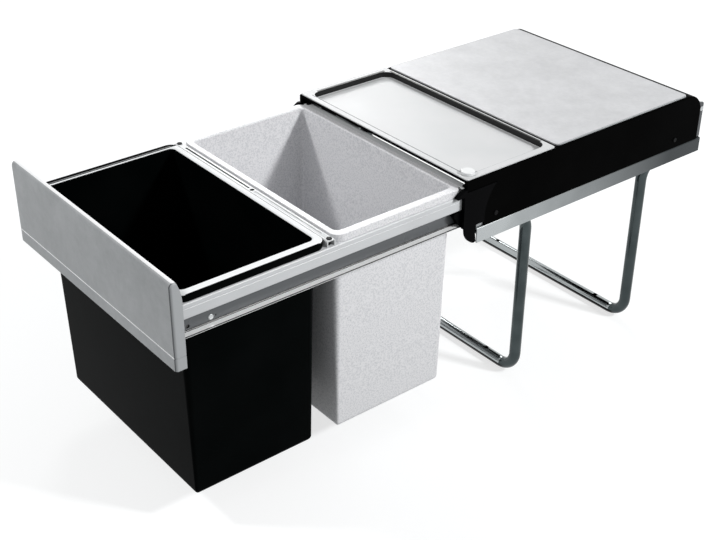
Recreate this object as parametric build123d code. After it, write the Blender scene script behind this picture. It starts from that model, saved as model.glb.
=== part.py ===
from build123d import *
import os

# Pull out bin frame: two bins on a telescopic drawer under a fixed cover on tube legs.
# X runs across, Y to the rear and Z up, in millimetres. The origin is the centre
# of the four floor screw holes at floor level, and the drawer is pulled right out.

# Main sizes of the unit
cover_width = 345.0
bin_length = 198.0
bin_height = 292.0
bin_floor_gap = 42.0
bin_gap = 13.0
leg_span = 231.0
leg_lead = 120.0
screw_span = 214.0
panel_reach = 11.5
panel_height = 110.0

# Clearances that fits are made from
seat_gap = 0.3
slide_gap = 0.5
side_gap = 0.8
lift_gap = 0.5
shut_gap = 2.0
turn_gap = 0.05
hole_gap = 0.1
overrun = 20.0

# Steel sheet and tube
frame_sheet = 1.5
rail_sheet = 1.2
bend_r = 2.0
tube_d = 16.0
tube_wall = 1.5
tube_bend_r = 28.0
leg_top_run = 60.0
floor_hole_d = 5.5

# Drawer side rail
rail_depth = 10.0
rail_height = 43.2
rail_band = 19.7
rail_bead_drop = 6.2
rail_bead_d = 1.6
rail_side_gap = 0.8
rail_floor_gap = 6.5
rail_hole_d = 5.0
rail_hole_y = 19.0
rail_hole_drop = 36.2
rail_rivet_y = 48.7
rail_rivet_pitch = 6.0
rail_rivet_drop = 35.6
rail_pin_hole_d = 2.6

# Fixed channel, support angle and back plate
channel_cover_gap = 0.5
channel_setback = 3.0
channel_flange = 15.3
channel_relief = 18.0
angle_setback = 21.0
angle_web = 21.0
angle_flange = 17.5
rail_overrun = 8.0
back_tab = 14.0
buffer_d = 8.0
buffer_length = 18.7
buffer_nose_r = 3.0

# Front roller and its pin
roller_setback = 16.0
roller_width = 7.8
roller_edge = 0.8
roller_recess = 1.4
roller_recess_d = 12.0
pin_d = 6.0
pin_head_d = 11.0
pin_head = 1.0
pin_shoulder_d = 9.0

# Front guide moulding
guide_reach = 19.0
guide_lip = 4.0
guide_proud = 1.0
guide_top_len = 54.0
guide_foot_len = 36.0
guide_rise = 6.0
guide_sweep_r = 62.0
guide_hook_drop = 25.2
guide_hook_rise = 3.0
guide_hook_len = 19.5
guide_hook_tip = 4.0
guide_hook_r = 24.0
guide_peg_d = 5.0
guide_peg_y = 20.0
guide_round = 1.0
tongue_chin = 14.0
tongue_round = 3.0

# Rear glide shoe
glide_length = 22.0
glide_arm = 15.0
glide_cheek = 2.6
glide_rib = 1.2
glide_round = 2.5

# Bins
bin_panel_gap = 5.5
bin_wall = 1.8
bin_rim_side = 10.0
bin_rim_end = 7.4
bin_skirt = 9.5
bin_rim_r = 13.0
bin_body_r = 9.0
bin_body_gap = 1.2
bin_draft = 1.2
bin_foot_r = 8.0
bin_mouth_r = 2.4
bin_edge_r = 0.9

# Cross bars
bar_gap = 0.8
bar_top_drop = 2.0
bar_slot_width = 2.6
bar_slot_share = 0.44
bar_hole_d = 6.0
bar_screw_inset = 4.4
bar_bead_width = 2.4
bar_bead_depth = 0.5
bracket_height = 30.0
bracket_tab = 64.0

# Front panel
panel_depth = 14.0
panel_wall = 2.5
panel_drop = 68.2
panel_top_depth = 7.5
panel_top_r = 6.0
panel_swan = 28.0
panel_side_r = 3.5
panel_groove = 1.2
panel_groove_up = 16.0
panel_boss_d = 9.0
panel_boss = 2.8
panel_boss_x_share = 0.82
panel_boss_rise = 22.0
panel_rib = 1.6
panel_rib_count = 4

# Cover, its lid and the lift out tray
cover_wall = 2.0
cover_rise = 11.0
cover_lip = 3.2
cover_edge_r = 1.8
cover_rear_r = 30.0
cover_screw_y = 52.0
cover_screw_up = 12.5
tray_sheet = 1.5
tray_inset = 1.6
tray_front_band = 9.5
tray_side_band = 10.4
tray_length = 154.5
tray_rear_band = 4.5
tray_depth = 8.5
tray_corner_r = 14.0
tray_rim_r = 3.0
lid_gap = 5.5
lid_length = 263.0
lid_inset = 3.0
lid_sheet = 2.0
lid_corner_r = 7.0
lid_edge_r = 0.8

# Quarter turn knob of the tray
knob_d = 18.0
knob_height = 3.6
knob_round = 1.1
knob_land = 4.0
knob_corner_share = 0.17
knob_stem_d = 4.8
knob_cam_length = 11.0
knob_cam_width = 4.6
knob_cam = 2.4

# Small fasteners
screw_d = 3.0
screw_head_d = 6.6
screw_head = 1.4
rivet_d = 4.0
rivet_head_d = 7.0
rivet_head = 0.9

# Levels, worked out from the floor up
rim_top_z = bin_floor_gap + bin_height
ledge_z = rim_top_z - bin_skirt - seat_gap
rail_low_z = ledge_z - rail_height
rail_step_z = ledge_z - rail_band
rail_floor_z = rail_low_z + rail_sheet
channel_floor_z = rail_low_z - rail_floor_gap
angle_top_z = channel_floor_z - frame_sheet
channel_top_z = ledge_z + side_gap
leg_top_z = angle_top_z - frame_sheet - seat_gap - tube_d / 2
roller_z = (rail_step_z + rail_floor_z) / 2
roller_d = rail_step_z - rail_floor_z - 2 * seat_gap
cover_top_z = rim_top_z + cover_rise
cover_lip_z = cover_top_z - cover_lip
cover_low_z = angle_top_z + seat_gap
tray_low_z = cover_top_z + seat_gap
tray_top_z = tray_low_z + tray_sheet
tray_floor_z = tray_top_z - tray_depth
panel_low_z = ledge_z - panel_drop
panel_top_z = panel_low_z + panel_height
bar_top_z = rim_top_z - bar_top_drop
guide_low_z = rail_low_z - side_gap
guide_top_z = ledge_z + guide_rise

# Distances across, worked out from the cover inwards
cover_x = cover_width / 2
panel_x = cover_x + panel_reach
cover_in_x = cover_x - cover_wall
channel_x = cover_in_x - channel_cover_gap
channel_in_x = channel_x - frame_sheet
rail_x = channel_in_x - rail_side_gap
web_x = rail_x - rail_depth
web_in_x = web_x - rail_sheet
body_x = web_in_x - bin_body_gap
rim_x = body_x + bin_rim_side
channel_tip_x = rim_x + side_gap
leg_x = cover_x - frame_sheet - hole_gap - tube_d / 2
angle_tip_x = cover_x - angle_flange
roller_x = web_x + rail_sheet + slide_gap
roller_out_x = roller_x + roller_width
guide_x = cover_x + guide_proud
guide_plate_x = channel_x + seat_gap
guide_nose_x = rail_x + slide_gap
tooth_x = channel_tip_x + side_gap
glide_x = channel_in_x - slide_gap

# Distances along, worked out from the legs and the cover's front
leg_y = leg_span / 2
cover_front_y = -leg_y - leg_lead
shut_rear_y = cover_front_y - guide_reach - shut_gap
rear_bin_end_y = cover_front_y - lift_gap
front_bin_y = rear_bin_end_y - 2 * bin_length - bin_gap
rear_bin_y = front_bin_y + bin_length + bin_gap
panel_rear_y = front_bin_y - bin_panel_gap
panel_front_y = panel_rear_y - panel_depth
travel = shut_rear_y - panel_rear_y
bracket_y = panel_front_y + panel_wall + panel_boss
rail_front_y = bracket_y + rail_sheet + seat_gap
roller_y = cover_front_y + roller_setback
rail_rear_y = roller_y + roller_d / 2 + side_gap
glide_rear_y = rail_rear_y + glide_length
rear_y = glide_rear_y + travel + seat_gap + buffer_length
cover_rear_y = rear_y - rail_overrun
channel_y = cover_front_y + channel_setback
angle_y = cover_front_y + angle_setback
tray_y = cover_front_y + lift_gap
lid_y = tray_y + tray_length + lid_gap
knob_x = cover_x - tray_inset - tray_side_band - knob_d * knob_corner_share
knob_y = tray_y + tray_front_band + knob_land

os.makedirs("parts", exist_ok=True)


# A flat outline drawn with X across and Z up, drawn out along Y.
def along_y(face, start, length):
    plane = Plane(origin=(0, start, 0), x_dir=(1, 0, 0), z_dir=(0, -1, 0))
    return extrude(plane * face, amount=-length)


# A flat outline drawn with Y across and Z up, drawn out along X.
def along_x(face, start, length):
    plane = Plane(origin=(start, 0, 0), x_dir=(0, 1, 0), z_dir=(1, 0, 0))
    return extrude(plane * face, amount=length)


# A flat outline drawn with X across and Y up the page, drawn up along Z.
def along_z(face, start, length, taper=0):
    return extrude(Plane.XY.offset(start) * face, amount=length, taper=taper)


# A face inside straight runs with rounded corners.
def outline(points, radii):
    return make_face(FilletPolyline(*points, radius=radii, close=True))


# The section of a folded sheet, whose visible side follows the points.
def folded(points, gauge, side=Side.RIGHT):
    bends = [bend_r] * (len(points) - 2)
    return make_face(offset(FilletPolyline(*points, radius=bends), amount=gauge, side=side))


# A straight sided block between two corners.
def block(low, high):
    size = [b - a for a, b in zip(low, high)]
    middle = [(a + b) / 2 for a, b in zip(low, high)]
    return Pos(*middle) * Box(*size)


# A plate with rounded corners, from its low corner to its high corner.
def rounded_plan(low, high, radius):
    size = [b - a for a, b in zip(low, high)]
    middle = [(a + b) / 2 for a, b in zip(low, high)]
    return Pos(*middle, 0) * RectangleRounded(*size, radius)


# A round bar along X between two stations.
def rod_x(start, end, y, z, diameter):
    turned = Pos((start + end) / 2, y, z) * Rot(0, 90, 0)
    return turned * Cylinder(diameter / 2, end - start)


# A round bar along Y between two stations.
def rod_y(x, start, end, z, diameter):
    turned = Pos(x, (start + end) / 2, z) * Rot(90, 0, 0)
    return turned * Cylinder(diameter / 2, end - start)


# A round bar along Z between two levels.
def rod_z(x, y, start, end, diameter):
    return Pos(x, y, (start + end) / 2) * Cylinder(diameter / 2, end - start)


def mirrored(shape):
    return mirror(shape, about=Plane.YZ)


def both_sides(shape):
    return shape + mirrored(shape)


def save(shape, name):
    export_step(shape, "parts/" + name + ".step")


def save_pair(shape, name):
    save(shape, name + "_right")
    save(mirrored(shape), name + "_left")


# A bent tube leg: a floor run, two uprights and two runs along the support angles.
def make_leg(y, toward):
    end = y + toward * (tube_bend_r + leg_top_run)
    low = tube_d / 2
    path = FilletPolyline(
        (-leg_x, end, leg_top_z),
        (-leg_x, y, leg_top_z),
        (-leg_x, y, low),
        (leg_x, y, low),
        (leg_x, y, leg_top_z),
        (leg_x, end, leg_top_z),
        radius=tube_bend_r,
    )
    ring = Circle(tube_d / 2) - Circle(tube_d / 2 - tube_wall)
    start = Plane(origin=path @ 0, z_dir=path % 0)
    leg = sweep(start * ring, path=path)
    hole = rod_z(screw_span / 2, y, -overrun, tube_d + overrun, floor_hole_d)
    return leg - both_sides(hole)


# The pressed angle that the legs carry on each side.
def make_support_angle():
    low = angle_top_z - angle_web
    points = [(angle_tip_x, angle_top_z), (cover_x, angle_top_z), (cover_x, low)]
    return along_y(folded(points, frame_sheet), angle_y, rear_y - angle_y)


# The fixed channel that the drawer's rear glide runs in, open towards the middle.
def make_channel():
    high = channel_top_z + frame_sheet
    low = angle_top_z
    foot_x = channel_x - channel_flange
    points = [(channel_tip_x, high), (channel_x, high), (channel_x, low), (foot_x, low)]
    channel = along_y(folded(points, frame_sheet), channel_y, rear_y - channel_y)
    relief_low = (foot_x - side_gap, channel_y - side_gap, low - side_gap)
    relief_high = (channel_in_x, channel_y + channel_relief, channel_floor_z + hole_gap)
    channel -= block(relief_low, relief_high)
    pin_hole = pin_d + 2 * hole_gap
    channel -= rod_x(channel_in_x - overrun, channel_x + overrun, roller_y, roller_z, pin_hole)
    peg_y = cover_front_y + guide_peg_y
    peg_z = (ledge_z + rail_step_z) / 2
    peg_hole = guide_peg_d + 2 * hole_gap
    channel -= rod_x(channel_in_x - overrun, channel_x + overrun, peg_y, peg_z, peg_hole)
    for y in cover_screw_rows():
        level = cover_low_z + cover_screw_up
        hole = screw_d + 2 * hole_gap
        channel -= rod_x(channel_in_x - overrun, channel_x + overrun, y, level, hole)
    return channel - back_rivet(channel_in_x - overrun, channel_x + overrun, rivet_hole())


def rivet_hole():
    return rivet_d + 2 * hole_gap


# The side rivets of the back plate, from one end to the other across X.
def back_rivet(start, end, diameter):
    return rod_x(start, end, rear_y - rail_overrun / 2, channel_top_z - rivet_head_d, diameter)


def cover_screw_rows():
    return [cover_front_y + cover_screw_y, cover_rear_y - cover_screw_y]


# The cross plate behind the drawer, with tabs that lie in the channels.
def make_back_plate():
    face_x = channel_in_x - hole_gap
    front = rear_y - back_tab
    line = [(face_x, front), (face_x, rear_y + frame_sheet), (-face_x, rear_y + frame_sheet), (-face_x, front)]
    section = folded(line, frame_sheet, Side.LEFT)
    height = channel_top_z - channel_floor_z - 2 * seat_gap
    plate = along_z(section, channel_floor_z + seat_gap, height)
    return plate - both_sides(back_rivet(face_x - overrun, face_x + overrun, rivet_hole()))


# Rubber stops that the shut drawer's glides meet.
def make_buffer():
    x = channel_in_x - frame_sheet - bend_r - hole_gap - buffer_d / 2
    stop = rod_y(x, rear_y - buffer_length, rear_y, roller_z, buffer_d)
    nose = stop.edges().group_by(Axis.Y)[0]
    return fillet(nose, buffer_nose_r)


# The moulded guide at each channel's front: plate, nose, tooth, tongue and hook.
def make_front_guide():
    front = cover_front_y - guide_lip
    nose_rear = channel_y - seat_gap
    tooth_rear = cover_front_y - seat_gap
    tip = cover_front_y - guide_reach
    guide = along_x(guide_plate_face(0), guide_plate_x, guide_x - guide_plate_x)
    guide += block((guide_nose_x, front, guide_low_z), (guide_x, nose_rear, guide_top_z))
    tooth_z = ledge_z + 2 * seat_gap
    slope = [(tip, tooth_z), (front, rim_top_z), (tooth_rear, rim_top_z), (tooth_rear, tooth_z)]
    tooth = outline(slope, [guide_round, guide_round, 0, 0])
    guide += along_x(tooth, tooth_x, guide_x - tooth_x)
    guide += make_tongue(tip, nose_rear)
    guide += along_x(hook_face(), guide_plate_x, guide_x - guide_plate_x)
    peg_z = (ledge_z + rail_step_z) / 2
    peg_end = channel_in_x + hole_gap
    guide += rod_x(peg_end, guide_x, cover_front_y + guide_peg_y, peg_z, guide_peg_d)
    return guide


# The side view of the guide's plate, whose rear edge sweeps up and back.
def guide_plate_face(margin):
    front = cover_front_y - guide_lip - margin
    high = guide_top_z + margin
    low = guide_low_z - margin
    top_end = (cover_front_y - guide_lip + guide_top_len + margin, high)
    foot_end = (cover_front_y - guide_lip + guide_foot_len + margin, low)
    with BuildSketch() as plate:
        with BuildLine():
            Polyline(foot_end, (front, low), (front, high), top_end)
            RadiusArc(top_end, foot_end, -guide_sweep_r)
        make_face()
    return plate.sketch


# The tongue that fills the rail's recess ahead of the roller.
def make_tongue(tip, rear):
    high = rail_step_z - slide_gap
    low = rail_floor_z + slide_gap
    chin = (tip + tongue_chin, low)
    points = [(tip, high), (rear, high), (rear, low), chin]
    face = outline(points, [tongue_round, 0, 0, tongue_round])
    return along_x(face, roller_x, guide_nose_x - roller_x)


# The side view of the curved hook under the guide.
def hook_face():
    start = cover_front_y - guide_lip + guide_hook_rise
    high = guide_low_z + guide_hook_rise
    low = guide_low_z - guide_hook_drop
    end = start + guide_hook_len
    tip_front = (end - guide_hook_tip, low)
    tip_rear = (end, low + guide_round)
    with BuildSketch() as hook:
        with BuildLine():
            RadiusArc((start, high), tip_front, -guide_hook_r)
            Line(tip_front, tip_rear)
            Line(tip_rear, (end - guide_hook_tip / 2, (low + high) / 2))
            Line((end - guide_hook_tip / 2, (low + high) / 2), (end, high))
            Line((end, high), (start, high))
        make_face()
    return hook.sketch


# The fixed roller that carries the rail's step, turning on a headed pin.
def make_roller():
    wheel = rod_x(roller_x, roller_out_x, roller_y, roller_z, roller_d)
    wheel = chamfer(wheel.edges().filter_by(GeomType.CIRCLE), roller_edge)
    seat = roller_x + roller_recess
    wheel -= rod_x(roller_x - overrun, seat, roller_y, roller_z, roller_recess_d)
    return wheel - rod_x(roller_x, roller_out_x + overrun, roller_y, roller_z, pin_d + 2 * turn_gap)


def make_pin():
    head_x = roller_x + roller_recess - pin_head - seat_gap
    pin = rod_x(head_x, channel_x, roller_y, roller_z, pin_d)
    pin += rod_x(head_x, head_x + pin_head, roller_y, roller_z, pin_head_d)
    pin += rod_x(roller_out_x + seat_gap, channel_in_x, roller_y, roller_z, pin_shoulder_d)
    return pin


# The drawer's side rail: a ledge for the bins, a band and a recess for the roller.
def make_rail():
    points = [
        (web_in_x, ledge_z),
        (rail_x, ledge_z),
        (rail_x, rail_step_z),
        (web_x, rail_step_z),
        (web_x, rail_floor_z),
        (rail_x, rail_floor_z),
    ]
    rail = along_y(folded(points, rail_sheet), rail_front_y, rail_rear_y - rail_front_y)
    bead_x = rail_x + rail_bead_d / 4
    bead_z = ledge_z - rail_bead_drop
    rail -= rod_y(bead_x, rail_front_y - overrun, rail_rear_y + overrun, bead_z, rail_bead_d)
    hole_z = ledge_z - rail_hole_drop
    hole_y = panel_rear_y + rail_hole_y
    rail -= rod_x(web_in_x - side_gap, web_x + overrun, hole_y, hole_z, rail_hole_d)
    spare_y = rail_rivet_row() + rail_rivet_pitch
    spare_z = ledge_z - rail_rivet_drop
    rail -= rod_x(web_in_x - side_gap, web_x + overrun, spare_y, spare_z, rail_pin_hole_d)
    for y, z in rail_rivets():
        rail -= rod_x(web_in_x - side_gap, web_x + side_gap, y, z, rivet_hole())
    for y in (middle_bar_y(), rear_bar_y()):
        hole = screw_d + 2 * hole_gap
        rail -= rod_z(rim_x - bar_screw_inset, y, ledge_z - rail_band / 2, ledge_z + overrun, hole)
    return rail


def rail_rivet_row():
    return panel_rear_y + rail_rivet_y


# Rivets that hold the front bracket and the rear glide to the rail's web.
def rail_rivets():
    arm_y = rail_rear_y - glide_arm / 2
    return [(rail_rivet_row(), ledge_z - rail_rivet_drop), (arm_y, rail_step_z - rivet_head_d)]


def make_rail_rivets():
    rivets = []
    for y, z in rail_rivets():
        inner = web_in_x - rail_sheet - hole_gap
        shank = rod_x(inner, web_x + rivet_head, y, z, rivet_d)
        head = rod_x(web_x, web_x + rivet_head, y, z, rivet_head_d)
        head = chamfer(head.edges().group_by(Axis.X)[-1], rivet_head / 2)
        rivets.append(shank + head)
    return Compound(children=rivets + [mirrored(r) for r in rivets])


# The sliding shoe at the rail's rear end, running between the channel's flanges.
def make_glide():
    low = channel_floor_z + seat_gap
    high = channel_top_z - seat_gap
    inner = web_in_x - glide_cheek
    face = rounded_plan((rail_rear_y, low), (glide_rear_y, high), glide_round)
    glide = along_x(face, inner, glide_x - inner)
    pocket = rounded_plan(
        (rail_rear_y + glide_cheek, rail_floor_z),
        (glide_rear_y - glide_cheek, rail_step_z),
        glide_round,
    )
    glide -= along_x(pocket, web_x, overrun)
    rib_y = (rail_rear_y + glide_rear_y) / 2
    glide += block((web_x, rib_y - glide_rib, rail_floor_z), (glide_x, rib_y + glide_rib, rail_step_z))
    arm_low = rail_floor_z + side_gap
    arm_front = rail_rear_y - glide_arm
    arm_out = web_in_x - hole_gap
    arm = block((inner, arm_front, arm_low), (arm_out, rail_rear_y + glide_cheek, rail_step_z))
    for y, z in rail_rivets()[1:]:
        arm -= rod_x(inner - side_gap, web_x, y, z, rivet_hole())
    return glide + arm


# A bin with drafted walls, a rounded foot and a turned down rim.
def make_bin(front):
    rear = front + bin_length
    body_front = front + bin_rim_end
    body_rear = rear - bin_rim_end
    body = rounded_plan((-body_x, body_front), (body_x, body_rear), bin_body_r)
    tub = along_z(body, rim_top_z, -bin_height, bin_draft)
    tub = fillet(tub.edges().group_by(Axis.Z)[0], bin_foot_r)
    inside = rounded_plan(
        (bin_wall - body_x, body_front + bin_wall),
        (body_x - bin_wall, body_rear - bin_wall),
        bin_body_r - bin_wall,
    )
    hollow = along_z(inside, rim_top_z, bin_wall - bin_height, bin_draft)
    hollow = fillet(hollow.edges().group_by(Axis.Z)[0], bin_foot_r - bin_wall)
    tub = tub + make_bin_lip(front, rear) - hollow
    mouth = [e for e in tub.edges().group_by(Axis.Z)[-1] if is_mouth(e, front, rear)]
    return fillet(mouth, bin_mouth_r)


# The bin's rim: a flat top with a rounded edge and a skirt turned down all round.
def make_bin_lip(front, rear):
    rim = rounded_plan((-rim_x, front), (rim_x, rear), bin_rim_r)
    lip = along_z(rim, rim_top_z - bin_skirt, bin_skirt)
    lip = fillet(lip.edges().group_by(Axis.Z)[-1], bin_edge_r)
    under = rounded_plan(
        (bin_wall - rim_x, front + bin_wall),
        (rim_x - bin_wall, rear - bin_wall),
        bin_rim_r - bin_wall,
    )
    return lip - along_z(under, rim_top_z - bin_skirt - overrun, bin_skirt + overrun - bin_wall)


# Whether an edge of the rim's top runs round the mouth and not round the outside.
def is_mouth(edge, front, rear):
    box = edge.bounding_box()
    margin = bin_rim_end / 2
    inside_x = max(abs(box.min.X), abs(box.max.X)) < rim_x - margin
    return inside_x and box.min.Y > front + margin and box.max.Y < rear - margin


def middle_bar_y():
    return front_bin_y + bin_length + bin_gap / 2


def rear_bar_y():
    return rear_bin_end_y + bin_gap / 2 + bar_gap


# An inverted channel across the drawer that rests on both ledges.
def make_bar(y):
    half = bin_gap / 2 - bar_gap
    low = ledge_z + hole_gap
    points = [(y - half, low), (y - half, bar_top_z), (y + half, bar_top_z), (y + half, low)]
    bar = along_x(folded(points, rail_sheet), -rim_x, 2 * rim_x)
    hole = screw_d + 2 * hole_gap
    return bar - both_sides(rod_z(rim_x - bar_screw_inset, y, ledge_z, rim_top_z, hole))


# The bar between the bins, with a long slot, a centre hole and a pressed bead.
def make_middle_bar():
    y = middle_bar_y()
    bar = make_bar(y)
    slot_end = -2 * rim_x * bar_slot_share
    slot_low = (slot_end, y - bar_slot_width / 2, ledge_z)
    slot_high = (0, y + bar_slot_width / 2, rim_top_z)
    bar -= block(slot_low, slot_high)
    bar -= rod_z(bar_hole_d, y, ledge_z, rim_top_z, bar_hole_d)
    bead_low = (2 * bar_hole_d, y - bar_bead_width / 2, bar_top_z - bar_bead_depth)
    bead_high = (-slot_end, y + bar_bead_width / 2, rim_top_z)
    return bar - block(bead_low, bead_high)


# Long screws through the bars' ends into the ledges.
def make_bar_screws():
    screws = []
    for y in (middle_bar_y(), rear_bar_y()):
        x = rim_x - bar_screw_inset
        shank = rod_z(x, y, ledge_z - 2 * rail_sheet, bar_top_z + screw_head, screw_d)
        head = rod_z(x, y, bar_top_z, bar_top_z + screw_head, screw_head_d)
        head = fillet(head.edges().group_by(Axis.Z)[-1], screw_head / 2)
        screws += [shank + head, mirrored(shank + head)]
    return Compound(children=screws)


# The folded bracket that ties the rails' front ends and carries the panel.
def make_front_bracket():
    x = web_in_x - hole_gap
    rear = bracket_y + bracket_tab
    line = [(x, rear), (x, bracket_y), (-x, bracket_y), (-x, rear)]
    section = folded(line, rail_sheet, Side.RIGHT)
    low = ledge_z - rail_band / 2 - bracket_height
    bracket = along_z(section, low, bracket_height)
    y, z = rail_rivets()[0]
    bracket -= both_sides(rod_x(x - overrun, x + overrun, y, z, rivet_hole()))
    for px, pz in panel_bosses():
        hole = screw_d + 2 * hole_gap
        bracket -= rod_y(px, bracket_y - side_gap, bracket_y + overrun, pz, hole)
    return bracket


def panel_bosses():
    x = web_in_x * panel_boss_x_share
    low = ledge_z - rail_band / 2 - bracket_height / 2 - panel_boss_rise / 2
    return [(sx, z) for sx in (-x, x) for z in (low, low + panel_boss_rise)]


def make_panel_screws():
    screws = []
    for x, z in panel_bosses():
        back = bracket_y + rail_sheet
        shank = rod_y(x, panel_front_y + panel_wall, back + screw_head, z, screw_d)
        head = rod_y(x, back, back + screw_head, z, screw_head_d)
        head = fillet(head.edges().group_by(Axis.Y)[-1], screw_head / 2)
        screws.append(shank + head)
    return Compound(children=screws)


# The front panel: a moulded shell open at the back, with bosses and ribs inside.
def make_panel():
    half = panel_x
    skin = along_x(panel_outer(), -half, 2 * half)
    uprights = skin.edges().filter_by(Axis.Z).group_by(Axis.Y)[0]
    skin = fillet(uprights, panel_side_r)
    inner = half - panel_wall
    skin -= along_x(panel_inner(), -inner, 2 * inner)
    skin -= groove_ring(half)
    for x, z in panel_bosses():
        skin += rod_y(x, panel_front_y + panel_wall / 2, bracket_y, z, panel_boss_d)
    for share in range(1, panel_rib_count):
        x = -inner + 2 * inner * share / panel_rib_count
        skin += block(
            (x - panel_rib / 2, panel_front_y + panel_wall / 2, panel_low_z + panel_wall),
            (x + panel_rib / 2, bracket_y - hole_gap, panel_top_z - panel_top_r),
        )
    for x, z in panel_bosses():
        hole = screw_d + 2 * hole_gap
        skin -= rod_y(x, panel_front_y + panel_wall, bracket_y + side_gap, z, hole)
    return skin


# The panel's outer side view.
def panel_outer():
    neck = (panel_front_y + panel_top_depth, panel_top_z)
    shoulder = (panel_rear_y, panel_top_z - panel_swan)
    crown = (panel_front_y + panel_top_r, panel_top_z)
    brow = (panel_front_y, panel_top_z - panel_top_r)
    return panel_side(neck, shoulder, crown, brow, panel_low_z)


# The hollow's side view, which runs out through the open back.
def panel_inner():
    front = panel_front_y + panel_wall
    high = panel_top_z - panel_wall
    neck = (panel_front_y + panel_top_depth + panel_wall, high)
    shoulder = (panel_rear_y + panel_wall, panel_top_z - panel_swan)
    crown = (panel_front_y + panel_top_r, high)
    brow = (front, panel_top_z - panel_top_r)
    return panel_side(neck, shoulder, crown, brow, panel_low_z + panel_wall)


def panel_side(neck, shoulder, crown, brow, low):
    with BuildSketch() as side:
        with BuildLine():
            Polyline(shoulder, (shoulder[0], low), (brow[0], low), brow)
            RadiusArc(brow, crown, crown[0] - brow[0])
            Line(crown, neck)
            TangentArc(shoulder, neck, tangent=(0, 1))
        make_face()
    return side.sketch


# The fine groove that runs round the panel's lower part.
def groove_ring(half):
    z = panel_low_z + panel_groove_up
    outer = block(
        (-half - overrun, panel_front_y - overrun, z),
        (half + overrun, panel_rear_y + overrun, z + panel_groove),
    )
    depth = panel_groove / 2
    core = rounded_plan(
        (depth - half, panel_front_y + depth),
        (half - depth, panel_rear_y + 2 * overrun),
        panel_side_r,
    )
    return outer - along_z(core, z - overrun, 3 * overrun)


# The fixed cover: a moulded hood with rounded edges, open below and at the front.
def make_cover():
    hood = hood_solid(0)
    hood -= hood_solid(cover_wall)
    mouth_x = tooth_x
    lip_rear = cover_front_y + cover_wall + hole_gap
    hood -= block((-mouth_x, cover_front_y - overrun, cover_low_z - overrun), (mouth_x, lip_rear, cover_lip_z))
    side_z = guide_top_z + seat_gap
    hood -= block((-cover_in_x, cover_front_y - overrun, cover_low_z - overrun), (cover_in_x, lip_rear, side_z))
    notch = along_x(guide_plate_face(seat_gap), cover_in_x - side_gap, overrun)
    notch_rear = cover_front_y - guide_lip + guide_foot_len + seat_gap
    notch_low = (cover_in_x - side_gap, cover_front_y - overrun, cover_low_z - overrun)
    notch += block(notch_low, (cover_x + overrun, notch_rear, guide_low_z))
    foot_x = channel_x - channel_flange - side_gap
    corner_low = (foot_x, cover_rear_y - cover_rear_r / 3, cover_low_z - overrun)
    corner_high = (channel_x + seat_gap, cover_rear_y + overrun, side_z)
    hood -= both_sides(notch + block(corner_low, corner_high))
    hood -= along_z(tray_face(tray_sheet + slide_gap), cover_top_z - overrun, 2 * overrun)
    slot = SlotOverall(knob_cam_length + 2 * slide_gap, knob_cam_width + 2 * slide_gap)
    hood -= along_z(Pos(knob_x, knob_y) * Rot(0, 0, 90) * slot, cover_top_z - overrun, 2 * overrun)
    hole = screw_d + 2 * hole_gap
    for y in cover_screw_rows():
        level = cover_low_z + cover_screw_up
        hood -= both_sides(rod_x(cover_in_x - side_gap, cover_x + overrun, y, level, hole))
    return hood


# The hood's outer or inner form, drawn in by a margin all round.
def hood_solid(margin):
    half = cover_x - margin
    high = cover_top_z - margin
    front = cover_front_y + margin
    rear = cover_rear_y - margin
    low = cover_low_z - margin
    points = [(front, low), (front, high), (rear, high), (rear, low)]
    face = outline(points, [0, 0, cover_rear_r - margin, 0])
    hood = along_x(face, -half, 2 * half)
    edges = [e for e in hood.edges() if is_hood_edge(e, half, low)]
    return fillet(edges, cover_edge_r - margin / 2)


# Whether an edge bounds a side wall and runs over the top or down the rear.
def is_hood_edge(edge, half, low):
    box = edge.bounding_box()
    on_side = min(abs(box.min.X), abs(box.max.X)) > half - hole_gap
    upright = box.max.Z - box.min.Z > cover_rear_r and box.min.Z < low + hole_gap
    front = box.max.Y < cover_front_y + cover_wall + hole_gap
    flat = box.max.Z < low + hole_gap
    return on_side and not flat and not (upright and front)


# The tray's recess in plan, drawn out by a margin, with a land left for the knob.
def tray_face(margin):
    half = cover_x - tray_inset - tray_side_band + margin
    front = tray_y + tray_front_band - margin
    rear = tray_y + tray_length - tray_rear_band + margin
    face = rounded_plan((-half, front), (half, rear), tray_corner_r + margin)
    land = Pos(knob_x, knob_y) * Circle(knob_d / 2 + knob_land - margin)
    return face - land


# The lift out tray that closes the cover's front half.
def make_tray():
    half = cover_x - tray_inset
    rim = rounded_plan((-half, tray_y), (half, tray_y + tray_length), tray_rim_r)
    tray = along_z(rim, tray_low_z, tray_sheet)
    tray += along_z(tray_face(tray_sheet), tray_floor_z - tray_sheet, tray_low_z - tray_floor_z + tray_sheet)
    tray -= along_z(tray_face(0), tray_floor_z, tray_depth + overrun)
    return tray - rod_z(knob_x, knob_y, tray_floor_z, tray_top_z + overrun, knob_stem_d + 2 * turn_gap)


# The turning knob, whose cam locks under the cover's top wall.
def make_knob():
    low = tray_top_z + seat_gap
    knob = rod_z(knob_x, knob_y, low, low + knob_height, knob_d)
    knob = fillet(knob.edges().group_by(Axis.Z)[-1], knob_round)
    cam_top = cover_top_z - cover_wall - seat_gap
    knob += rod_z(knob_x, knob_y, cam_top - knob_cam, low, knob_stem_d)
    cam = Rot(0, 0, 90) * SlotOverall(knob_cam_length, knob_cam_width)
    return knob + along_z(Pos(knob_x, knob_y) * cam, cam_top - knob_cam, knob_cam)


# The flat lid on the cover's rear half.
def make_lid():
    half = cover_x - lid_inset
    plan = rounded_plan((-half, lid_y), (half, lid_y + lid_length), lid_corner_r)
    lid = along_z(plan, tray_low_z, lid_sheet)
    return fillet(lid.edges().group_by(Axis.Z)[-1], lid_edge_r)


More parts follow.
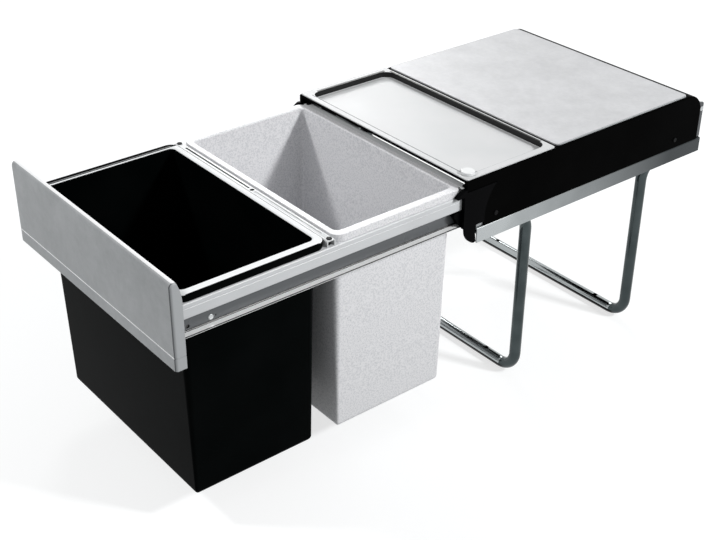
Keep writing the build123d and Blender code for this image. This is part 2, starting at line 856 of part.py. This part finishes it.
def make_cover_screws():
    screws = []
    for y in cover_screw_rows():
        level = cover_low_z + cover_screw_up
        shank = rod_x(channel_in_x + hole_gap, cover_x + screw_head, y, level, screw_d)
        head = rod_x(cover_x, cover_x + screw_head, y, level, screw_head_d)
        head = fillet(head.edges().group_by(Axis.X)[-1], screw_head / 2)
        screws += [shank + head, mirrored(shank + head)]
    return Compound(children=screws)


def make_back_rivets():
    inner = channel_in_x - frame_sheet - hole_gap - rivet_head
    rivet = back_rivet(inner, channel_x + rivet_head, rivet_d)
    rivet += back_rivet(channel_x, channel_x + rivet_head, rivet_head_d)
    rivet += back_rivet(inner, inner + rivet_head, rivet_head_d)
    return Compound(children=[rivet, mirrored(rivet)])


# The fixed frame
save(make_leg(-leg_y, -1), "front_leg")
save(make_leg(leg_y, 1), "rear_leg")
save_pair(make_support_angle(), "support_angle")
save_pair(make_channel(), "cabinet_channel")
save(make_back_plate(), "back_plate")
save(both_sides(make_buffer()), "rear_buffers")
save_pair(make_front_guide(), "front_guide")
save(both_sides(make_pin()), "roller_pins")
save(make_cover(), "cover")
save(make_lid(), "rear_lid")
save(make_cover_screws(), "cover_screws")
save(make_back_rivets(), "back_rivets")

# The rollers, which turn as the drawer runs
save_pair(make_roller(), "front_roller")

# The drawer
save_pair(make_rail(), "drawer_rail")
save_pair(make_glide(), "rear_glide")
save(make_panel(), "front_panel")
save(make_front_bracket(), "front_bracket")
save(make_middle_bar(), "middle_crossbar")
save(make_bar(rear_bar_y()), "rear_crossbar")
save(make_panel_screws(), "panel_screws")
save(make_bar_screws(), "crossbar_screws")
save(make_rail_rivets(), "rail_rivets")

# What lifts out
save(make_bin(front_bin_y), "front_bin")
save(make_bin(rear_bin_y), "rear_bin")
save(make_tray(), "tray")
save(make_knob(), "tray_knob")

print("drawer travel", travel)
print("row limits along Y", panel_front_y, rear_y + frame_sheet)
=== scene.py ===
import math
import bpy
from mathutils import Matrix, Vector

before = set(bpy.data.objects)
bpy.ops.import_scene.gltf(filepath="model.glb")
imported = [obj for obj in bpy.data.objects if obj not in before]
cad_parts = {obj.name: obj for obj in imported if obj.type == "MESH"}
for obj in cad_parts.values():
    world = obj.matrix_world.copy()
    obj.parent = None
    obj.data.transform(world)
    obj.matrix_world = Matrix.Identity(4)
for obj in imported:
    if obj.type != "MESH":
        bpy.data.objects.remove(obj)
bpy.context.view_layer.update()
print("frame loaded with", len(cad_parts), "pieces")

# the Mix node's colour sockets by number, since their names are shared with its other sockets
mixFirst, mixSecond, mixResult = 6, 7, 2


# sRGB hex to the linear colour that the shaders take
def hexLinear(code):
    parts = [int(code[i:i + 2], 16) / 255 for i in (1, 3, 5)]
    return tuple(p / 12.92 if p <= 0.04045 else ((p + 0.055) / 1.055) ** 2.4 for p in parts) + (1.0,)


# adds one node with its settings, socket values and links
def addNode(tree, kind, settings=None, values=None, links=None):
    node = tree.nodes.new(kind)
    for name, value in (settings or {}).items():
        setattr(node, name, value)
    for name, value in (values or {}).items():
        node.inputs[name].default_value = value
    for name, output in (links or {}).items():
        tree.links.new(output, node.inputs[name])
    return node


# a fresh material with a Principled shader and the piece's own coordinates in metres
def startMaterial(name):
    material = bpy.data.materials.new(name)
    material.use_nodes = True
    tree = material.node_tree
    shader = tree.nodes["Principled BSDF"]
    place = addNode(tree, "ShaderNodeTexCoord").outputs["Object"]
    return material, tree, shader, place


# links patterns to the shader and sets its plain numbers on it directly
def feedShader(tree, shader, links, values=None):
    for name, output in links.items():
        tree.links.new(output, shader.inputs[name])
    for name, value in (values or {}).items():
        shader.inputs[name].default_value = value


# noise whose largest grains are sizeMm across
def grain(tree, place, sizeMm, detail=3.0, roughness=0.5):
    return addNode(tree, "ShaderNodeTexNoise",
                   values={"Scale": 1000.0 / sizeMm, "Detail": detail, "Roughness": roughness},
                   links={"Vector": place}).outputs["Fac"]


# spreads a grey value between two limits, where noise lies mostly between 0.3 and 0.7
def between(tree, value, low, high, fromLow=0.3, fromHigh=0.7):
    return addNode(tree, "ShaderNodeMapRange",
                   values={"From Min": fromLow, "From Max": fromHigh, "To Min": low, "To Max": high},
                   links={"Value": value}).outputs["Result"]


# a colour that drifts between a kind's low and high hex values with a grey value
def drift(tree, value, kind):
    ramp = addNode(tree, "ShaderNodeValToRGB", links={"Fac": value})
    for stop, where, tone in zip(ramp.color_ramp.elements, (0.35, 0.65), ("low", "high")):
        stop.position = where
        stop.color = hexLinear(kind[tone])
    return ramp.outputs["Color"]


# surface relief from a grey value, heightMm high
def relief(tree, value, heightMm):
    return addNode(tree, "ShaderNodeBump", values={"Strength": 1.0, "Distance": heightMm / 1000.0},
                   links={"Height": value}).outputs["Normal"]


# moulded plastic: a spark eroded mould leaves a fine even grain and a satin gloss that drifts a little over
# a hand's width. The real grain of about 0.1 mm is too fine to show, so it is drawn about 1 mm coarse.
# The black kinds have next to no shine, as in the photograph.
plasticCloudMm = 70.0
plasticKinds = {
    "panelGreyAbs": {"low": "#96999b", "high": "#adb0b2", "gloss": (0.36, 0.44), "shine": 0.4,
                     "grainMm": 1.1, "heightMm": 0.012, "cloudDetail": 7.0, "cloudRoughness": 0.8},
    "hoodBlackAbs": {"low": "#030303", "high": "#050505", "gloss": (0.24, 0.32), "shine": 0.004,
                     "grainMm": 1.2, "heightMm": 0.014},
    "trayGreyAbs": {"low": "#c8cacb", "high": "#cecfd0", "gloss": (0.34, 0.42), "shine": 0.25,
                    "grainMm": 1.0, "heightMm": 0.008},
    "knobGreyAbs": {"low": "#e2e4e5", "high": "#e8eaeb", "gloss": (0.22, 0.30), "shine": 0.5,
                    "grainMm": 0.8, "heightMm": 0.004},
    "guideBlackAcetal": {"low": "#040405", "high": "#060607", "gloss": (0.26, 0.36), "shine": 0.012,
                         "grainMm": 0.9, "heightMm": 0.008},
    "rollerWhiteNylon": {"low": "#dcdcd6", "high": "#e4e4de", "gloss": (0.38, 0.46), "shine": 0.5,
                         "grainMm": 0.9, "heightMm": 0.006},
    "bufferBlackRubber": {"low": "#0c0c0c", "high": "#141414", "gloss": (0.72, 0.82), "shine": 0.3,
                          "grainMm": 0.8, "heightMm": 0.02},
}


def mouldedPlastic(name):
    kind = plasticKinds[name]
    material, tree, shader, place = startMaterial(name)
    clouds = grain(tree, place, plasticCloudMm, kind.get("cloudDetail", 2.0), kind.get("cloudRoughness", 0.5))
    feedShader(tree, shader, {
        "Base Color": drift(tree, clouds, kind),
        "Roughness": between(tree, clouds, *kind["gloss"]),
        "Normal": relief(tree, grain(tree, place, kind["grainMm"]), kind["heightMm"]),
    }, {"Specular IOR Level": kind["shine"]})
    return material


# powder coat on pressed steel: baked powder leaves a faint orange peel of about 2 mm under an even half gloss
coatCloudMm = 90.0
coatKinds = {
    "railWhitePowder": {"low": "#c9cbcd", "high": "#d0d2d4", "gloss": (0.26, 0.34),
                        "peelMm": 2.0, "heightMm": 0.010},
    "crossbarGreyPowder": {"low": "#cdcfd0", "high": "#d4d6d7", "gloss": (0.30, 0.38),
                           "peelMm": 2.0, "heightMm": 0.010},
    "backPlateGreyPowder": {"low": "#55585a", "high": "#5e6163", "gloss": (0.30, 0.40),
                            "peelMm": 2.2, "heightMm": 0.012},
    "channelGreyPowder": {"low": "#8a8d8f", "high": "#929597", "gloss": (0.30, 0.40),
                          "peelMm": 2.2, "heightMm": 0.012},
}


def powderCoat(name):
    kind = coatKinds[name]
    material, tree, shader, place = startMaterial(name)
    clouds = grain(tree, place, coatCloudMm, 2.0)
    feedShader(tree, shader, {
        "Base Color": drift(tree, clouds, kind),
        "Roughness": between(tree, clouds, *kind["gloss"]),
        "Normal": relief(tree, grain(tree, place, kind["peelMm"], 1.0), kind["heightMm"]),
    })
    return material


# silver lacquer on sheet: fine aluminium flakes under a satin clear coat give a cloudy soft sheen. The flakes
# are drawn as clusters of 2.4 mm, since single ones are too fine to show.
lidFinish = {"low": "#b9babc", "high": "#c8c9cb", "cloudMm": 45.0, "gloss": (0.38, 0.46), "glossMm": 60.0,
             "flakeMm": 2.4, "heightMm": 0.004, "metallic": 0.1}


def lidSilverLacquer():
    material, tree, shader, place = startMaterial("lidSilverLacquer")
    feedShader(tree, shader, {
        "Base Color": drift(tree, grain(tree, place, lidFinish["cloudMm"], 6.0, 0.8), lidFinish),
        "Roughness": between(tree, grain(tree, place, lidFinish["glossMm"], 2.0), *lidFinish["gloss"]),
        "Normal": relief(tree, grain(tree, place, lidFinish["flakeMm"]), lidFinish["heightMm"]),
    }, {"Metallic": lidFinish["metallic"]})
    return material


# dark nickel chrome on drawn tube: a mirror with a slow waviness that bends what it shows
legFinish = {"low": "#3e4546", "high": "#484f50", "cloudMm": 30.0, "gloss": (0.10, 0.16), "glossMm": 25.0,
             "waveMm": 14.0, "heightMm": 0.03}


def legDarkChrome():
    material, tree, shader, place = startMaterial("legDarkChrome")
    feedShader(tree, shader, {
        "Base Color": drift(tree, grain(tree, place, legFinish["cloudMm"], 2.0), legFinish),
        "Roughness": between(tree, grain(tree, place, legFinish["glossMm"], 4.0), *legFinish["gloss"]),
        "Normal": relief(tree, grain(tree, place, legFinish["waveMm"], 1.0), legFinish["heightMm"]),
    }, {"Metallic": 1.0})
    return material


# zinc plate on small fasteners: bright, with a slightly mottled satin from the plating barrel
fastenerFinish = {"low": "#a4a7a8", "high": "#c2c4c5", "mottleMm": 1.5, "gloss": (0.24, 0.38), "glossMm": 1.0}


def fastenerZincPlate():
    material, tree, shader, place = startMaterial("fastenerZincPlate")
    feedShader(tree, shader, {
        "Base Color": drift(tree, grain(tree, place, fastenerFinish["mottleMm"]), fastenerFinish),
        "Roughness": between(tree, grain(tree, place, fastenerFinish["glossMm"]), *fastenerFinish["gloss"]),
    }, {"Metallic": 1.0})
    return material


# black oxide on the cover's and crossbars' screws: a dark oiled satin that hardly shows on black mouldings
screwFinish = {"low": "#0c0c0d", "high": "#141415", "mottleMm": 1.2, "gloss": (0.3, 0.4), "glossMm": 1.0,
               "shine": 0.04}


def screwBlackOxide():
    material, tree, shader, place = startMaterial("screwBlackOxide")
    feedShader(tree, shader, {
        "Base Color": drift(tree, grain(tree, place, screwFinish["mottleMm"]), screwFinish),
        "Roughness": between(tree, grain(tree, place, screwFinish["glossMm"]), *screwFinish["gloss"]),
    }, {"Specular IOR Level": screwFinish["shine"]})
    return material


# polished polypropylene: a polished mould gives the black bin a near mirror skin with a slight moulding ripple
blackBin = {"low": "#030505", "high": "#060808", "cloudMm": 80.0, "gloss": (0.12, 0.18), "shine": 0.006,
            "rippleMm": 45.0, "heightMm": 0.08}


def binBlackPolypropylene():
    material, tree, shader, place = startMaterial("binBlackPolypropylene")
    clouds = grain(tree, place, blackBin["cloudMm"], 2.0)
    feedShader(tree, shader, {
        "Base Color": drift(tree, clouds, blackBin),
        "Roughness": between(tree, clouds, *blackBin["gloss"]),
        "Normal": relief(tree, grain(tree, place, blackBin["rippleMm"], 1.0), blackBin["heightMm"]),
    }, {"Specular IOR Level": blackBin["shine"]})
    return material


# granite effect polypropylene: small mid grey and a few dark flakes of about 2 mm mixed into a pale grey melt.
# Each band is the part of the noise over which its flakes fade in, and each share is how far they hide the melt.
greyBin = {"ground": "#e9e9eb", "gloss": (0.30, 0.38), "glossMm": 60.0, "skinMm": 1.4, "heightMm": 0.006,
           "mid": "#d2d3d6", "midMm": 2.2, "midBand": (0.46, 0.58), "midShare": 1.0,
           "dark": "#8b8f94", "darkMm": 2.0, "darkBand": (0.62, 0.70), "darkShare": 0.8}


def binGranitePolypropylene():
    material, tree, shader, place = startMaterial("binGranitePolypropylene")
    midSpots = between(tree, grain(tree, place, greyBin["midMm"], 4.0, 0.65),
                       0.0, greyBin["midShare"], *greyBin["midBand"])
    darkSpots = between(tree, grain(tree, place, greyBin["darkMm"], 5.0, 0.7),
                        0.0, greyBin["darkShare"], *greyBin["darkBand"])
    melt = addNode(tree, "ShaderNodeMix", {"data_type": "RGBA"},
                   {mixFirst: hexLinear(greyBin["ground"]), mixSecond: hexLinear(greyBin["mid"])},
                   {"Factor": midSpots})
    speckled = addNode(tree, "ShaderNodeMix", {"data_type": "RGBA"}, {mixSecond: hexLinear(greyBin["dark"])},
                       {"Factor": darkSpots, mixFirst: melt.outputs[mixResult]})
    feedShader(tree, shader, {
        "Base Color": speckled.outputs[mixResult],
        "Roughness": between(tree, grain(tree, place, greyBin["glossMm"], 2.0), *greyBin["gloss"]),
        "Normal": relief(tree, grain(tree, place, greyBin["skinMm"]), greyBin["heightMm"]),
    })
    return material


# 1 inside a box of the piece's coordinates and 0 outside it, on both sides where it is mirrored
def insideBox(tree, low, high, mirrored):
    place = addNode(tree, "ShaderNodeTexCoord").outputs["Object"]
    parts = addNode(tree, "ShaderNodeSeparateXYZ", links={"Vector": place})
    across = parts.outputs["X"]
    if mirrored:
        across = addNode(tree, "ShaderNodeMath", {"operation": "ABSOLUTE"}, links={0: across}).outputs[0]
    tests = []
    for value, least, most in zip((across, parts.outputs["Y"], parts.outputs["Z"]), low, high):
        for operation, limit in (("GREATER_THAN", least), ("LESS_THAN", most)):
            test = addNode(tree, "ShaderNodeMath", {"operation": operation}, {1: limit}, {0: value})
            tests.append(test.outputs[0])
    inside = tests[0]
    for test in tests[1:]:
        inside = addNode(tree, "ShaderNodeMath", {"operation": "MULTIPLY"},
                         links={0: inside, 1: test}).outputs[0]
    return inside


# lays a second colour over a material's own inside a mask
def secondColour(tree, mask, colour):
    target = tree.nodes["Principled BSDF"].inputs["Base Color"]
    first = target.links[0].from_socket
    mixed = addNode(tree, "ShaderNodeMix", {"data_type": "RGBA"}, {mixSecond: hexLinear(colour)},
                    {"Factor": mask, mixFirst: first})
    tree.links.new(mixed.outputs[mixResult], target)


# lays a piece's zones over its finish, each a box of the piece, in metres, with its own colour
def layZones(material, zones, mirrored=True):
    for zone in zones.values():
        mask = insideBox(material.node_tree, zone["low"], zone["high"], mirrored)
        secondColour(material.node_tree, mask, zone["colour"])


# electroplated zinc on the support angles: a smooth grey metal whose clouds are a hand wide, with a painted shade
# that darkens it towards the rear, between two places along Y
angleFinish = {"low": "#9ea2a3", "high": "#acb0b1", "cloudMm": 60.0, "gloss": (0.20, 0.28), "metallic": 0.9,
               "paintedShade": "#363a3c", "paintedShadeAlong": (-0.16, 0.16)}


def angleZincPlate():
    material, tree, shader, place = startMaterial("angleZincPlate")
    clouds = grain(tree, place, angleFinish["cloudMm"], 2.0)
    feedShader(tree, shader, {
        "Base Color": drift(tree, clouds, angleFinish),
        "Roughness": between(tree, clouds, *angleFinish["gloss"]),
    }, {"Metallic": angleFinish["metallic"]})
    # the painted shade, darker towards the rear
    along = addNode(tree, "ShaderNodeSeparateXYZ", links={"Vector": place}).outputs["Y"]
    secondColour(tree, between(tree, along, 0.0, 1.0, *angleFinish["paintedShadeAlong"]), angleFinish["paintedShade"])
    return material


finishes = {name: mouldedPlastic(name) for name in plasticKinds}
finishes.update({name: powderCoat(name) for name in coatKinds})
for maker in (lidSilverLacquer, legDarkChrome, fastenerZincPlate, screwBlackOxide, angleZincPlate,
              binBlackPolypropylene, binGranitePolypropylene):
    finishes[maker.__name__] = maker()
print("finishes made:", len(finishes))

# along the floor the tubes carry a painted highlight on top and a painted shade below, and painted shade darkens
# the countersink at each floor screw
layZones(finishes["legDarkChrome"], {
    "runTopHighlight": {"colour": "#a6abac", "low": (0.0, -0.2, 0.0088), "high": (0.1400, 0.2, 0.0170)},
    "runUnderShade": {"colour": "#070808", "low": (0.0, -0.2, -0.001), "high": (0.1480, 0.2, 0.0088)},
    "frontHoleShade": {"colour": "#0b0c0c", "low": (0.1036, -0.1188, 0.0100), "high": (0.1104, -0.1122, 0.0170)},
    "rearHoleShade": {"colour": "#0b0c0c", "low": (0.1036, 0.1122, 0.0100), "high": (0.1104, 0.1188, 0.0170)},
})

# the rails' recess is painted dark grey with a painted shade along its foot; the ledge and band carry the white
# top coat, the flange's top a painted highlight, and its outer edge a painted shadow line
layZones(finishes["railWhitePowder"], {
    "recess": {"colour": "#4e5154", "low": (0.1560, -1.0, 0.2823), "high": (0.1590, 1.0, 0.3044)},
    "recessFootShade": {"colour": "#1d1e1f", "low": (0.1560, -1.0, 0.2823), "high": (0.1600, 1.0, 0.2842)},
    "flange": {"colour": "#f4f5f5", "low": (0.1590, -1.0, 0.2800), "high": (0.1680, 1.0, 0.2823)},
    "flangeEdgeShade": {"colour": "#222324", "low": (0.1664, -1.0, 0.2815), "high": (0.1680, 1.0, 0.2826)},
})

# the channels' rear ends, which stand out behind the cover, are darker
layZones(finishes["channelGreyPowder"], {
    "rearEnd": {"colour": "#3a3d40", "low": (0.1500, 0.2180, 0.2), "high": (0.1710, 0.2300, 0.4)},
})

# the tray's recess has black walls and crests round its light floor, and the grey lines along its front and right
# margins are painted shade at the recess's edges
layZones(finishes["trayGreyAbs"], {
    "walls": {"colour": "#0b0b0c", "low": (-0.1625, -0.2275, 0.3388), "high": (0.1625, -0.0835, 0.3464)},
    "rearCrest": {"colour": "#0b0b0c", "low": (-0.1560, -0.0860, 0.3388), "high": (0.1480, -0.0822, 0.3500)},
    "leftCrest": {"colour": "#0b0b0c", "low": (-0.1643, -0.2130, 0.3388), "high": (-0.1590, -0.0900, 0.3500)},
    "frontShadeLine": {"colour": "#5b5e60", "low": (-0.1560, -0.2270, 0.3450), "high": (0.1560, -0.2254, 0.3500)},
    "rightShadeLine": {"colour": "#85888a", "low": (0.1592, -0.2254, 0.3450), "high": (0.1608, -0.0950, 0.3500)},
}, mirrored=False)

# the panel's ends are separate caps behind a dark seam, and its top edge and its groove carry a painted highlight
layZones(finishes["panelGreyAbs"], {
    "seam": {"colour": "#5a5d60", "low": (0.1812, -1.0, 0.2), "high": (0.1826, 1.0, 0.4)},
    "endCap": {"colour": "#a9acae", "low": (0.1826, -1.0, 0.2), "high": (0.1850, 1.0, 0.4)},
    "topEdgeHighlight": {"colour": "#f2f3f4", "low": (0.0, -1.0, 0.3654), "high": (0.1850, 1.0, 0.4)},
    "grooveHighlight": {"colour": "#f2f3f4", "low": (0.0, -1.0, 0.2716), "high": (0.1812, 1.0, 0.2736)},
})

# the bars between the bins carry painted shade inside, where slot and hole look in, and the pressed bead is grey.
# The front bracket carries a painted shade spot behind each rail's front hole.
layZones(finishes["crossbarGreyPowder"], {
    "inside": {"colour": "#0a0a0b", "low": (0.0, -0.4450, 0.3200), "high": (0.1560, -0.4360, 0.3309)},
    "bracketShadeSpot": {"colour": "#101011", "low": (0.1545, -0.6352, 0.2842), "high": (0.1570, -0.6280, 0.2918)},
})
# slot and hole are painted shade
layZones(finishes["crossbarGreyPowder"], {
    "bead": {"colour": "#a4a7a9", "low": (0.0100, -0.4435, 0.3310), "high": (0.1560, -0.4375, 0.3330)},
    "slot": {"colour": "#0a0a0b", "low": (-0.1460, -0.4419, 0.3300), "high": (0.0005, -0.4391, 0.3319)},
    "hole": {"colour": "#0a0a0b", "low": (0.0028, -0.4437, 0.3300), "high": (0.0092, -0.4373, 0.3319)},
}, mirrored=False)

# the lid's sheet is painted darker along its side and rear borders
layZones(finishes["lidSilverLacquer"], {
    "sideBorder": {"colour": "#9da0a2", "low": (0.1681, -1.0, 0.3), "high": (0.1700, 1.0, 0.4)},
    "rearBorder": {"colour": "#9da0a2", "low": (0.0, 0.1866, 0.3), "high": (0.1700, 0.2, 0.4)},
})

# the knob stands in a painted shadow round its foot
layZones(finishes["knobGreyAbs"], {
    "footShadow": {"colour": "#2c2e30", "low": (0.1, -0.3, 0.3400), "high": (0.2, -0.2, 0.3420)},
}, mirrored=False)

# the black bin's rim carries a painted highlight on its top face, which stays black along its left side but for a
# thin painted highlight line
layZones(finishes["binBlackPolypropylene"], {
    "rimHighlight": {"colour": "#eceeef", "low": (-0.1555, -0.7, 0.3331), "high": (0.1647, -0.4479, 0.4)},
    "leftRimHighlightLine": {"colour": "#9b9d9e", "low": (-0.1586, -0.7, 0.3331), "high": (-0.1575, -0.4560, 0.4)},
}, mirrored=False)
print("zones laid on the finishes")

# which finish each piece has, left and right pieces alike
pieceFinish = {
    "front_leg": "legDarkChrome",
    "rear_leg": "legDarkChrome",
    "support_angle": "angleZincPlate",
    "cabinet_channel": "channelGreyPowder",
    "back_plate": "backPlateGreyPowder",
    "rear_buffers": "bufferBlackRubber",
    "front_guide": "guideBlackAcetal",
    "roller_pins": "fastenerZincPlate",
    "cover": "hoodBlackAbs",
    "rear_lid": "lidSilverLacquer",
    "cover_screws": "screwBlackOxide",
    "back_rivets": "fastenerZincPlate",
    "front_roller": "rollerWhiteNylon",
    "drawer_rail": "railWhitePowder",
    "rear_glide": "guideBlackAcetal",
    "front_panel": "panelGreyAbs",
    "front_bracket": "crossbarGreyPowder",
    "middle_crossbar": "crossbarGreyPowder",
    "rear_crossbar": "crossbarGreyPowder",
    "panel_screws": "fastenerZincPlate",
    "crossbar_screws": "screwBlackOxide",
    "rail_rivets": "fastenerZincPlate",
    "front_bin": "binBlackPolypropylene",
    "rear_bin": "binGranitePolypropylene",
    "tray": "trayGreyAbs",
    "tray_knob": "knobGreyAbs",
}

for nodeName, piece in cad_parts.items():
    family = nodeName.removesuffix("_left").removesuffix("_right")
    piece.data.materials.clear()
    piece.data.materials.append(finishes[pieceFinish[family]])
print("finishes laid on every piece")


# 1 for the rays that show a backdrop: those from the camera, off gloss and through glass
def backdropRays(tree):
    rays = addNode(tree, "ShaderNodeLightPath").outputs
    shown = rays["Is Camera Ray"]
    for kind in ("Is Glossy Ray", "Is Transmission Ray"):
        shown = addNode(tree, "ShaderNodeMath", {"operation": "MAXIMUM"},
                        links={0: shown, 1: rays[kind]}).outputs[0]
    return shown


# matt pale paper that keeps the object's shadow. It is lifted towards white for the backdrop's rays, by a level
# that grows with the distance from the object.
floorSettings = {"colour": "#a2a4a5", "roughness": 0.9, "halfSize": 12.0, "gap": 0.0005,
                 "lift": (0.70, 0.93), "liftReach": (1.3, 3.2)}


def makeFloor():
    half = floorSettings["halfSize"]
    mesh = bpy.data.meshes.new("floor")
    corners = [(-half, -half, 0), (half, -half, 0), (half, half, 0), (-half, half, 0)]
    mesh.from_pydata(corners, [], [(0, 1, 2, 3)])
    floor = bpy.data.objects.new("floor", mesh)
    bpy.context.scene.collection.objects.link(floor)
    floor.location.z = -floorSettings["gap"]
    material, tree, shader, place = startMaterial("floorPalePaper")
    away = addNode(tree, "ShaderNodeVectorMath", {"operation": "LENGTH"}, links={0: place}).outputs["Value"]
    level = between(tree, away, *floorSettings["lift"], *floorSettings["liftReach"])
    lift = addNode(tree, "ShaderNodeMath", {"operation": "MULTIPLY"}, links={0: level, 1: backdropRays(tree)})
    feedShader(tree, shader, {"Emission Strength": lift.outputs[0]}, {
        "Base Color": hexLinear(floorSettings["colour"]),
        "Roughness": floorSettings["roughness"],
        "Emission Color": (1, 1, 1, 1),
    })
    floor.data.materials.append(material)


# a soft even sky for the object, and plain white for the backdrop's rays
worldSettings = {"softStrength": 0.25, "whiteStrength": 1.0}


def makeWorld():
    world = bpy.data.worlds.new("studioWorld")
    bpy.context.scene.world = world
    world.use_nodes = True
    tree = world.node_tree
    tree.nodes.clear()
    soft, white = (addNode(tree, "ShaderNodeBackground",
                           values={"Color": (1, 1, 1, 1), "Strength": worldSettings[kind]}).outputs[0]
                   for kind in ("softStrength", "whiteStrength"))
    mixed = addNode(tree, "ShaderNodeMixShader", links={0: backdropRays(tree), 1: soft, 2: white})
    addNode(tree, "ShaderNodeOutputWorld", links={"Surface": mixed.outputs[0]})


# small square lamps: the side and front ones throw the wedge of shade into the rear bin
lampSettings = {
    "backLamp": {"place": (-2.55, 1.45, 1.98), "aim": (0.0, -0.2, 0.3), "size": 0.9, "watts": 30.0},
    "sideLamp": {"place": (2.20, 0.90, 1.95), "aim": (0.0, -0.3, 0.3), "size": 0.30, "watts": 70.0},
    "frontLamp": {"place": (-1.38, -2.27, 2.47), "aim": (0.0, -0.3, 0.3), "size": 0.35, "watts": 46.0},
}


def makeLamps():
    for name, settings in lampSettings.items():
        light = bpy.data.lights.new(name, "AREA")
        light.size = settings["size"]
        light.energy = settings["watts"]
        lamp = bpy.data.objects.new(name, light)
        bpy.context.scene.collection.objects.link(lamp)
        lamp.location = settings["place"]
        aim = Vector(settings["aim"]) - Vector(settings["place"])
        lamp.rotation_euler = aim.to_track_quat("-Z", "Y").to_euler()


makeFloor()
makeWorld()
makeLamps()
print("floor and lamps set")

# camera, from straight edges of the photograph, with its angles in degrees and its focal length in picture widths
view = {"place": (1.1650, -1.2083, 1.0474), "yaw": 51.08, "pitch": -30.92, "roll": 0.40,
        "focalShare": 1268.16 / 716.0, "sensorMm": 36.0, "nearest": 0.02, "farthest": 60.0}


def makeCamera():
    yaw, pitch, roll = (math.radians(view[angle]) for angle in ("yaw", "pitch", "roll"))
    ahead = Vector((-math.sin(yaw) * math.cos(pitch), math.cos(yaw) * math.cos(pitch), math.sin(pitch)))
    level = Vector((math.cos(yaw), math.sin(yaw), 0))
    upright = level.cross(ahead)
    right = level * math.cos(roll) + upright * math.sin(roll)
    up = upright * math.cos(roll) - level * math.sin(roll)
    lens = bpy.data.cameras.new("camera")
    lens.sensor_fit = "HORIZONTAL"
    lens.sensor_width = view["sensorMm"]
    lens.lens = view["focalShare"] * view["sensorMm"]
    lens.clip_start = view["nearest"]
    lens.clip_end = view["farthest"]
    camera = bpy.data.objects.new("camera", lens)
    bpy.context.scene.collection.objects.link(camera)
    turned = Matrix((right, up, -ahead)).transposed().to_4x4()
    camera.matrix_world = Matrix.Translation(view["place"]) @ turned
    bpy.context.scene.camera = camera


makeCamera()
bpy.context.scene.view_settings.view_transform = "Standard"
print("camera set")
